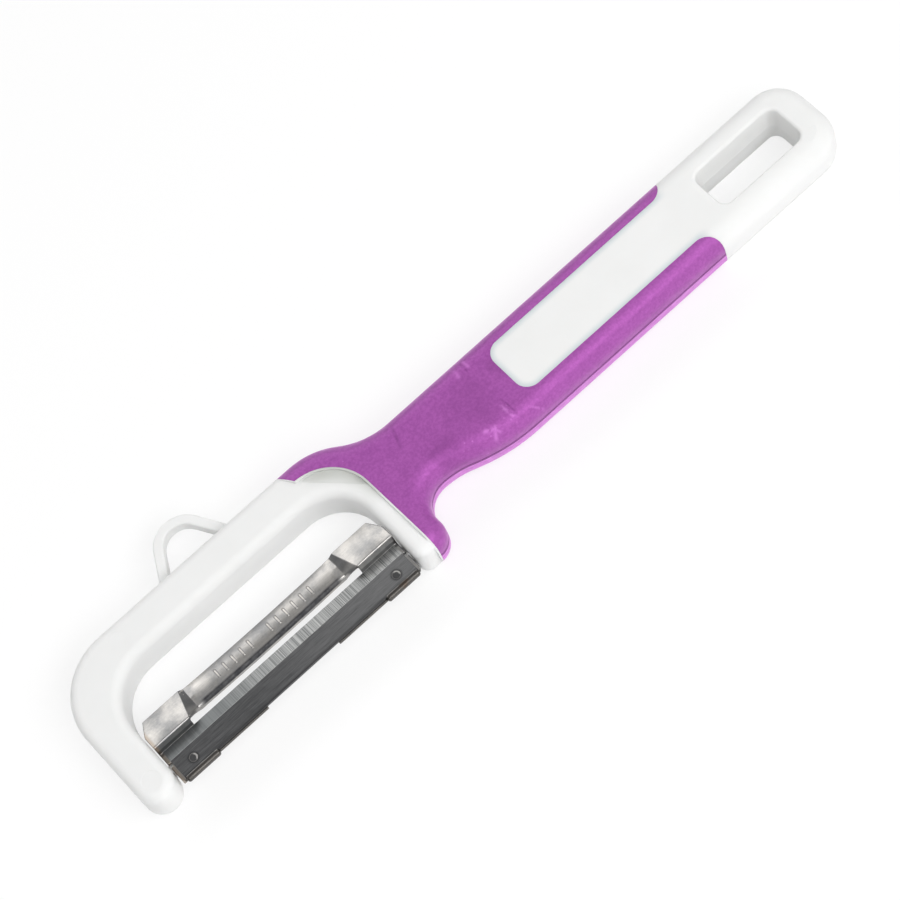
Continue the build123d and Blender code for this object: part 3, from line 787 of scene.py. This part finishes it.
def press_shade(tree, at, facing):
    """Painted shade on the slanted steps, the walls under the shoulders and the far side of the bar's
    middle.
    """
    aside = apart(tree, at["X"], carrier_middle)
    steps = ramp(tree, calc(tree, "ABSOLUTE", facing["X"]), *step_slopes)
    steps = times(tree, steps, ramp(tree, at["Y"], *step_y, *step_strength))
    walls = times(tree, ramp(tree, facing["Z"], *wall_slopes), ramp(tree, aside, *wall_start))
    walls = times(tree, walls, ramp(tree, at["Y"], *wall_y, 0.0, wall_strength))
    middle = ramp(tree, aside, *bar_shade_end)
    middle = times(tree, middle, ramp(tree, at["Y"], *bar_shade_y, 0.0, bar_shade_strength))
    return larger(tree, larger(tree, steps, walls), middle)


print("walls start from the middle, mm:", in_mm(wall_start))

# %% Carrier finish
cool_steel = (0.35, 0.355, 0.365, 1.0)
warm_steel = (0.70, 0.665, 0.615, 1.0)
mottle_dark = (0.36, 0.36, 0.365, 1.0)
mottle_light = (0.64, 0.625, 0.605, 1.0)
mottle_share = 0.3
highlight_steel = (0.76, 0.73, 0.69, 1.0)
worn_and_lit_edge_steel = (0.84, 0.80, 0.74, 1.0)
drawn_and_shade_steel = (0.11, 0.112, 0.12, 1.0)
dark_lip = (0.06, 0.061, 0.066, 1.0)
foot_shade_steel = (0.05, 0.05, 0.052, 1.0)
dried_juice = (0.34, 0.26, 0.19, 1.0)
dark_tan = (0.05, 0.044, 0.038, 1.0)
trace_brown = (0.10, 0.064, 0.045, 1.0)
stake_shade_steel = (0.092, 0.092, 0.094, 1.0)
stake_glint = (0.55, 0.54, 0.52, 1.0)
edge_worn_and_lit = (0.5, 0.1)
sheet_gloss = (0.38, 0.28)
dull_extra = 0.3
pit_relief = 0.15
drawn_relief = 0.05


def steel_tone(tree):
    """The tumbled sheet's colour with its painted highlight patches, before any shade or stain, and the
    clouds that its gloss follows.
    """
    tone = use(tree, clouds, Size=4.5 * mm, Contrast=1.9, Dark=cool_steel, Light=warm_steel)
    mottle = use(tree, clouds, Size=0.5 * mm, Contrast=2.2, Dark=mottle_dark, Light=mottle_light)
    colour = tint(tree, mottle_share, tone["Color"], mottle["Color"])
    for (x, y), radius, strength in highlight_patches:
        centre = (carrier_middle + x * mm, blade_high.y + y * mm, carrier_high.z)
        patch = use(tree, blot, Centre=centre, Radius=radius * mm, Ragged=highlight_ragged)["Mask"]
        colour = coat(tree, colour, patch, highlight_steel, strength)
    return colour, tone["Mask"]


def make_carrier_steel():
    material, tree, shader = new_material("carrier steel")
    _, at = place_of(tree)
    facing = facing_of(tree)
    colour, gloss_clouds = steel_tone(tree)
    drawn = use(tree, strokes, Along=1.6 * mm, Across=0.1 * mm, Contrast=2.2)["Mask"]
    colour = coat(tree, colour, drawn, drawn_and_shade_steel, strength=0.22)
    # Painted shade and dark reflection on the slanted steps, the walls under the shoulders and the bar's
    # far side.
    colour = coat(tree, colour, press_shade(tree, at, facing), drawn_and_shade_steel)
    lip = lip_shade(tree, at)
    # A band of painted shade along the lip's fold.
    colour = coat(tree, colour, lip, dark_lip)
    convexity = use(tree, edges_and_creases, Start=0.53, Full=0.62)
    # The folds are painted darker, as the shade in them.
    colour = coat(tree, colour, convexity["Creases"], drawn_and_shade_steel, strength=0.65)
    colour = coat(tree, colour, ramp(tree, at["X"], *outer_end_x), dried_juice, strength=0.6)
    # Along the back the sheet is painted a dark tan.
    back = ramp(tree, at["Y"], *back_y)
    colour = coat(tree, colour, back, dark_tan, strength=0.85)
    # Painted shade at the foot of the walls, along the cutting edge.
    off_edge = apart(tree, at["Y"], blade_high.y)
    foot = times(tree, ramp(tree, at["Z"], *foot_z), ramp(tree, off_edge, *foot_reach))
    colour = coat(tree, colour, foot, foot_shade_steel, strength=0.65)
    hidden = larger(tree, larger(tree, back, foot), lip)
    # Edges and ridge crests are painted lighter, partly as the drum's rubbing and partly as highlight,
    # less so where shade is painted.
    open_edges = times(tree, convexity["Edges"], between(tree, hidden, *edge_worn_and_lit))
    colour = coat(tree, colour, open_edges, worn_and_lit_edge_steel)
    colour = coat(tree, colour, ridge_crest_light(tree, at), worn_and_lit_edge_steel, strength=0.5)
    brown = use(tree, blot, Centre=stain_centre, Radius=1.5 * mm, Ragged=1.6)["Mask"]
    colour = coat(tree, colour, brown, trace_brown, strength=0.5)
    heads = 0.0
    # Each stake head is painted dark as shade, with a painted glint on one side.
    for centre, direction in stakes:
        mark = use(tree, stake_mark, Centre=centre, Direction=direction, Radius=stake_radius)
        colour = coat(tree, colour, mark["Head"], stake_shade_steel)
        colour = coat(tree, colour, mark["Glint"], stake_glint, strength=0.9)
        heads = larger(tree, mark["Head"], heads)
    dull = times(tree, larger(tree, heads, lip), dull_extra)
    rough = calc(tree, "ADD", between(tree, gloss_clouds, *sheet_gloss), dull)
    pressed = use(tree, grain, Size=1.4 * mm)["Height"]
    pits = use(tree, grain, Size=0.3 * mm)["Height"]
    relief = calc(tree, "ADD", pressed, times(tree, drawn, drawn_relief))
    relief = calc(tree, "ADD", times(tree, pits, pit_relief), relief)
    bump = bumped(tree, relief, strength=0.5, depth=0.03 * mm)
    fill(shader, {"Base Color": colour, "Metallic": 1.0, "Roughness": rough, "Normal": bump})
    return material


carrier_steel = make_carrier_steel()
print("carrier finish:", carrier_steel.name)

# %% [markdown]
# ## Ground steel of the blade
# The blade is one strip with two finishes. Its body keeps the dark, lengthwise brushing of the rolled
# strip. It is painted a little brighter towards the handle, and darker as shade along its back and round
# the stakes. The bevel was ground across, and each grain of the wheel left a stroke from the body's
# border to the cutting edge. Towards the head's end the strokes are broad and dull. A thin line along the
# border is painted light, as the highlight on its burr. One material holds both: the distance from the
# cutting edge says where the bevel starts.

# %% Places on the blade, and its greys
bevel_width = 2.7 * mm
bevel_line = blade_high.y - bevel_width
bevel_y = (bevel_line - 0.02 * mm, bevel_line + 0.02 * mm)
burr_width = 0.07 * mm
brighter_x = (blade_low.x + 12 * mm, blade_high.x)
dent_radius = stake_radius * 1.25
shaded_y = (blade_low.y + 0.8 * mm, blade_low.y + 0.1 * mm)
crisp_x = (blade_low.x + 8 * mm, blade_low.x + 30 * mm)
crisp_strength = (0.35, 0.9)
dull_x = (blade_low.x + 34 * mm, blade_low.x + 8 * mm)
rub_dark_levels = (0.45, 0.0)
rub_light_levels = (0.6, 1.0)
body_gloss = (0.36, 0.46)
bevel_gloss = (0.44, 0.34)

rolled_dark = (0.10, 0.102, 0.105, 1.0)
rolled_light = (0.132, 0.133, 0.136, 1.0)
brushed_light = (0.24, 0.241, 0.245, 1.0)
brighter_end_steel = (0.36, 0.361, 0.364, 1.0)
rub_dark = (0.07, 0.071, 0.074, 1.0)
rub_light = (0.30, 0.301, 0.305, 1.0)
dent_shade_steel = (0.055, 0.055, 0.057, 1.0)
back_shade_steel = (0.05, 0.05, 0.052, 1.0)
ground_dark = (0.18, 0.185, 0.187, 1.0)
ground_light = (0.48, 0.485, 0.475, 1.0)
ground_dull = (0.165, 0.175, 0.178, 1.0)
burr_highlight = (0.62, 0.62, 0.60, 1.0)
print("bevel, mm wide:", bevel_width / mm)

# %% The two finishes of the blade
def blade_body(tree, at, brushing):
    """The colour of the brushed body, with painted shade round the stakes and along the back."""
    haze = use(tree, clouds, Size=5 * mm, Contrast=1.8, Dark=rolled_dark, Light=rolled_light)
    body = coat(tree, haze["Color"], brushing, brushed_light, strength=0.4)
    # Painted a little brighter towards the handle.
    body = coat(tree, body, ramp(tree, at["X"], *brighter_x), brighter_end_steel, strength=0.55)
    rubbing = use(tree, strokes, Along=3.6 * mm, Across=0.12 * mm, Contrast=3.2)["Mask"]
    body = coat(tree, body, ramp(tree, rubbing, *rub_dark_levels), rub_dark, strength=0.3)
    body = coat(tree, body, ramp(tree, rubbing, *rub_light_levels), rub_light, strength=0.2)
    # Painted shade round the stakes, and below along the back.
    dent = 0.0
    for centre, direction in stakes:
        mark = use(tree, stake_mark, Centre=centre, Direction=direction, Radius=dent_radius)
        dent = larger(tree, mark["Head"], dent)
    body = coat(tree, body, dent, dent_shade_steel, strength=0.8)
    return coat(tree, body, ramp(tree, at["Y"], *shaded_y), back_shade_steel, strength=0.6)


def blade_grinding(tree, at):
    """The strokes across the bevel, finer and crisper away from the head's end."""
    fine = use(tree, strokes, Along=0.21 * mm, Across=90 * mm, Contrast=3.4)["Mask"]
    coarse = use(tree, strokes, Along=1.2 * mm, Across=40 * mm, Contrast=1.7)["Mask"]
    crisp = ramp(tree, at["X"], *crisp_x, *crisp_strength)
    return node(tree, "ShaderNodeMix", {0: crisp, 2: coarse, 3: fine}).outputs[0]


print("blade finishes: brushed body and ground bevel")

# %% Blade finish
def make_blade_steel():
    material, tree, shader = new_material("blade steel")
    _, at = place_of(tree)
    brushing = use(tree, strokes, Along=9 * mm, Across=0.22 * mm, Contrast=2.6)["Mask"]
    grinding = blade_grinding(tree, at)
    bevel = tint(tree, grinding, ground_dark, ground_light)
    bevel = coat(tree, bevel, ramp(tree, at["X"], *dull_x), ground_dull, strength=0.8)
    on_bevel = ramp(tree, at["Y"], *bevel_y)
    colour = tint(tree, on_bevel, blade_body(tree, at, brushing), bevel)
    # A thin painted highlight along the border of the bevel.
    on_burr = ramp(tree, apart(tree, at["Y"], bevel_line + burr_width), burr_width, burr_width / 3)
    colour = coat(tree, colour, on_burr, burr_highlight, strength=0.25)
    body_rough = between(tree, brushing, *body_gloss)
    bevel_rough = between(tree, grinding, *bevel_gloss)
    rough = node(tree, "ShaderNodeMix", {0: on_bevel, 2: body_rough, 3: bevel_rough}).outputs[0]
    height = node(tree, "ShaderNodeMix", {0: on_bevel, 2: brushing, 3: grinding}).outputs[0]
    bump = bumped(tree, height, strength=0.6, depth=0.008 * mm)
    fill(shader, {"Base Color": colour, "Metallic": 1.0, "Roughness": rough, "Normal": bump})
    return material


blade_steel = make_blade_steel()
dress("blade", blade_steel)
print("blade, mm:", in_mm(blade_high - blade_low))

# %% [markdown]
# ## The carrier as a pressed sheet
# The solid of the carrier has knife-sharp edges, and pressed sheet never has. Bevelling each edge by
# hand is slow and breaks at corners where three folds meet. Instead the solid is rebuilt as an even, fine
# mesh and gently smoothed: flat places stay flat, and every edge gets the small radius that the press and
# the tumbling drum leave. The same fine mesh then carries the stamping. The solid itself isn't touched,
# and the new piece stands in for it at the end.

# %% Rebuild the carrier finely
carrier_voxel = 0.1 * mm
smoothing_rounds = 6


def rebuilt(source, name, voxel, rounds):
    """A new object with the source's shape, as an even mesh with softened edges."""
    piece = bpy.data.objects.new(name, source.data.copy())
    bpy.context.collection.objects.link(piece)
    even = piece.modifiers.new("even faces", "REMESH")
    even.mode = "VOXEL"
    even.voxel_size = voxel
    soften = piece.modifiers.new("soft edges", "SMOOTH")
    soften.factor = 0.5
    soften.iterations = rounds
    bpy.context.view_layer.update()
    seen = piece.evaluated_get(bpy.context.evaluated_depsgraph_get())
    mesh = bpy.data.meshes.new_from_object(seen)
    piece.modifiers.clear()
    piece.data = mesh
    mesh.polygons.foreach_set("use_smooth", [True] * len(mesh.polygons))
    return piece


carrier = rebuilt(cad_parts["blade_carrier"], "pressed_carrier", carrier_voxel, smoothing_rounds)
print("carrier faces:", len(carrier.data.polygons))

# %% [markdown]
# ## What the press did to the sheet
# The plain sheet becomes a pressed one. The shoulders are pillowed, the guard bar is crowned and sags a
# little towards the blade in its middle, its one fold is eased into a curve and its far edge rolls off.
# All of that sheet wanders by a few hundredths of a millimetre. Each is a sum on the vertex places, done
# for all vertices at once, because a modifier for each would be slower to set up and harder to place.
# The pad under the blade keeps its shape, so the sums start just past the cutting edge.

# %% Press the sheet
pressed_from_y = blade_high.y + 0.3 * mm
shoulder_length = 8.8 * mm
shoulder_middle_y = blade_high.y + 3.9 * mm
shoulder_half_width = 3.2 * mm
pillow_height = 0.24 * mm
bar_middle_y = blade_high.y + 4.0 * mm
bar_half_width = 3.3 * mm
crown_height = 0.24 * mm
fold_y = blade_high.y + 4.55 * mm
fold_rise = 0.5 * mm
fold_run = 2.8 * mm
fold_reach = 1.7 * mm
roll_y = blade_high.y + 5.9 * mm
roll_width = 1.45 * mm
roll_drop = 0.12 * mm
bar_end_steepness = 6
sheet_wave = 0.03 * mm
wave_length = 5 * mm


def get_points(mesh):
    """Vertex places and normals of a mesh, as two arrays."""
    points = np.empty(len(mesh.vertices) * 3)
    normals = np.empty(len(mesh.vertices) * 3)
    mesh.vertices.foreach_get("co", points)
    mesh.vertices.foreach_get("normal", normals)
    return points.reshape(-1, 3), normals.reshape(-1, 3)


def hump(values, middle, half):
    """1 in the middle, 0 at half the width to either side, and 0 beyond."""
    return np.clip(1 - ((values - middle) / half) ** 2, 0, 1)


def press_sheet(points):
    """Pillows the shoulders, crowns and sags the bar, and lets the sheet wander."""
    pressed = points[:, 1] > pressed_from_y
    for side in (-1, 1):
        end_x = carrier_low.x if side < 0 else carrier_high.x
        middle_x = end_x - side * shoulder_length / 2
        pillow = hump(points[:, 0], middle_x, shoulder_length / 2)
        pillow *= hump(points[:, 1], shoulder_middle_y, shoulder_half_width)
        points[:, 2] += np.where(pressed, pillow * pillow_height, 0)
    on_bar = hump(points[:, 0], carrier_middle, bar_half_length)
    steady = np.clip(on_bar * bar_end_steepness, 0, 1) * pressed
    points[:, 2] += steady * hump(points[:, 1], bar_middle_y, bar_half_width) * crown_height
    near_fold = np.clip(fold_reach - np.abs(points[:, 1] - fold_y), 0, None)
    points[:, 2] -= steady * fold_rise / fold_run * near_fold ** 2 / (4 * fold_reach)
    points[:, 2] -= steady * roll_drop * np.clip((points[:, 1] - roll_y) / roll_width, 0, 1) ** 2
    points[:, 1] -= on_bar * pressed * bar_sag
    wander = [noise.noise(Vector((p[0], p[1], 0)) / wave_length) for p in points]
    points[:, 2] += np.array(wander) * sheet_wave * pressed


points, normals = get_points(carrier.data)
press_sheet(points)
print("pillow, crown and sag, mm:", in_mm((pillow_height, crown_height, bar_sag)))

# %% [markdown]
# ## Stamped ridges and flat stakes
# The bar carries two rows of short, plain ridges that give it stiffness and grip. Each is a soft rise
# round a short line. The punch struck the stakes a little askew. Each head is flush with the blade, all
# but a small bead on one side.

# %% Stamp the ridges and flatten the stakes
ridge_upward = 0.8
ridge_half_width = 0.42 * mm
ridge_height = 0.15 * mm
stake_reach_share = 1.3
stake_dimple_depth = 0.4 * mm
stake_upward = 0.3
stake_rise = 0.02 * mm
stake_bead = 0.1 * mm
bead_offset_share = 0.45
bead_length_share = 1.6
bead_spread = 0.12


def stamp_ridges(points, normals):
    """Raises two rows of short ridges on the upper side of the guard bar."""
    on_top = normals[:, 2] > ridge_upward
    beyond = np.maximum(np.abs(points[:, 1] - ridge_y) - ridge_half_length, 0)
    for offset, count in ridge_rows:
        for i in range(count):
            x = carrier_middle + offset + (i - (count - 1) / 2) * ridge_pitch
            away = np.hypot(points[:, 0] - x, beyond)
            rise = np.clip(1 - away / ridge_half_width, 0, 1)
            rise = rise * rise * (3 - 2 * rise)
            points[:, 2] += np.where(on_top, rise * ridge_height, 0)


def flatten_stakes(points, normals):
    """Hammers each stake head flush with the blade, all but a small bead on one side."""
    for centre, direction in stakes:
        x = (points[:, 0] - centre[0]) / stake_radius
        y = (points[:, 1] - centre[1]) / stake_radius
        near = np.hypot(x, y) < stake_reach_share
        on_head = near & (points[:, 2] > centre[2])
        in_dimple = near & (points[:, 2] > centre[2] - stake_dimple_depth) & (normals[:, 2] > stake_upward)
        along = x * direction[0] + y * direction[1] - bead_offset_share
        beside = (y * direction[0] - x * direction[1]) / bead_length_share
        bead = np.exp(-(along ** 2 + beside ** 2) / bead_spread)
        height = centre[2] + stake_rise + stake_bead * bead
        points[:, 2] = np.where(on_head | in_dimple, height, points[:, 2])


stamp_ridges(points, normals)
flatten_stakes(points, normals)
carrier.data.vertices.foreach_set("co", points.ravel())
carrier.data.update()
carrier.data.materials.clear()
carrier.data.materials.append(carrier_steel)
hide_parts("blade_carrier")
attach(carrier, "blade_unit")
print("ridges:", sum(count for _, count in ridge_rows), "stakes:", len(stakes))

# %% [markdown]
# ## Floor
# The photograph is a cut-out on white. A big pale floor catches a soft shadow, and its own glow keeps it
# white where nothing shades it. Only the camera, mirror-like rays and rays through something clear see
# the glow, so it shows in reflections but doesn't light the peeler. To them the paint is darker too,
# which keeps the shadow pale, while the light that bounces up into the slot and the bow comes from plain
# white paint. A curved backdrop isn't needed, because the camera looks down and never sees the horizon.

# %% Floor
floor_half = 3.0
seen_colour = (0.3, 0.3, 0.3, 1.0)
floor_colour = (0.9, 0.9, 0.9, 1.0)
floor_glow = 0.71


def make_floor():
    mesh = bpy.data.meshes.new("floor")
    corners = [(-floor_half, -floor_half, 0), (floor_half, -floor_half, 0),
               (floor_half, floor_half, 0), (-floor_half, floor_half, 0)]
    mesh.from_pydata(corners, [], [(0, 1, 2, 3)])
    floor = bpy.data.objects.new("floor", mesh)
    bpy.context.collection.objects.link(floor)
    material, tree, shader = new_material("floor")
    tree.nodes.remove(shader)
    path = node(tree, "ShaderNodeLightPath").outputs
    seen = larger(tree, path["Is Camera Ray"], path["Is Glossy Ray"])
    seen = larger(tree, seen, path["Is Transmission Ray"])
    paint = node(tree, "ShaderNodeBsdfDiffuse", {"Color": tint(tree, seen, floor_colour, seen_colour)})
    glow = node(tree, "ShaderNodeEmission", {"Strength": times(tree, seen, floor_glow)})
    both = node(tree, "ShaderNodeAddShader", {0: paint.outputs[0], 1: glow.outputs[0]})
    fill(tree.nodes["Material Output"], {"Surface": both.outputs[0]})
    mesh.materials.append(material)
    return floor


floor = make_floor()
print("floor, m across:", floor_half * 2)

# %% [markdown]
# ## Sky
# Polished metal shows its surroundings, so the surroundings are part of its look. The flat top of the
# blade mirrors a place high up behind the bow, and it is dark in the photograph. The bevel and the
# shoulders lean back and mirror a bright wall lower down. The sky is therefore dim overhead and at the
# horizon, with a bright band at middle height on the bow's side. The heights are those of a direction of
# length 1: 0 at the horizon and 1 overhead.

# %% Sky
dim_light = 0.34
wall_light = 1.85
wall_top = (0.84, 0.6)
wall_bottom = (0.28, 0.5)
wall_side = (0.25, 0.6)


def make_sky():
    world = bpy.data.worlds.new("studio")
    bpy.context.scene.world = world
    world.use_nodes = True
    tree = world.node_tree
    direction = node(tree, "ShaderNodeTexCoord").outputs["Generated"]
    at = node(tree, "ShaderNodeSeparateXYZ", {0: direction}).outputs
    band = times(tree, ramp(tree, at["Z"], *wall_top), ramp(tree, at["Z"], *wall_bottom))
    band = times(tree, band, ramp(tree, at["Y"], *wall_side))
    strength = between(tree, band, dim_light, wall_light)
    fill(tree.nodes["Background"], {"Strength": strength, "Color": (1.0, 1.0, 1.0, 1.0)})


make_sky()
print("dim and wall light:", dim_light, wall_light)

# %% [markdown]
# ## Lamps
# One large softbox is the main light. It stands in front of the cutting side and a little towards the
# handle, halfway up, and gives the highlight along the lower side of the grip and round the recess of the
# neck. A weaker strip high up evens out the flat faces and the rounded ones, as a light tent does, and a
# long low strip lights the sides that face the front and the inside of the bow.

# %% Lamps
aim = Vector((0, 0, mid_height))


def softbox(name, azimuth, elevation, distance, width, height, brightness):
    """A large flat lamp that faces the peeler. Brightness is what a mirror would show of it."""
    around, up = math.radians(azimuth), math.radians(elevation)
    place = aim + distance * Vector(
        (math.cos(around) * math.cos(up), math.sin(around) * math.cos(up), math.sin(up))
    )
    light = bpy.data.lights.new(name, "AREA")
    light.shape = "RECTANGLE"
    light.size = width
    light.size_y = height
    light.energy = brightness * math.pi * width * height
    lamp = bpy.data.objects.new(name, light)
    bpy.context.collection.objects.link(lamp)
    lamp.location = place
    lamp.rotation_euler = (aim - place).to_track_quat("-Z", "Y").to_euler()
    return lamp


softbox("main_softbox", azimuth=-72, elevation=46, distance=1.0, width=1.2, height=0.4, brightness=3.6)
softbox("top_strip", azimuth=-90, elevation=72, distance=1.0, width=1.2, height=0.24, brightness=2.5)
softbox("low_strip", azimuth=-88, elevation=9, distance=0.8, width=1.0, height=0.2, brightness=1.4)
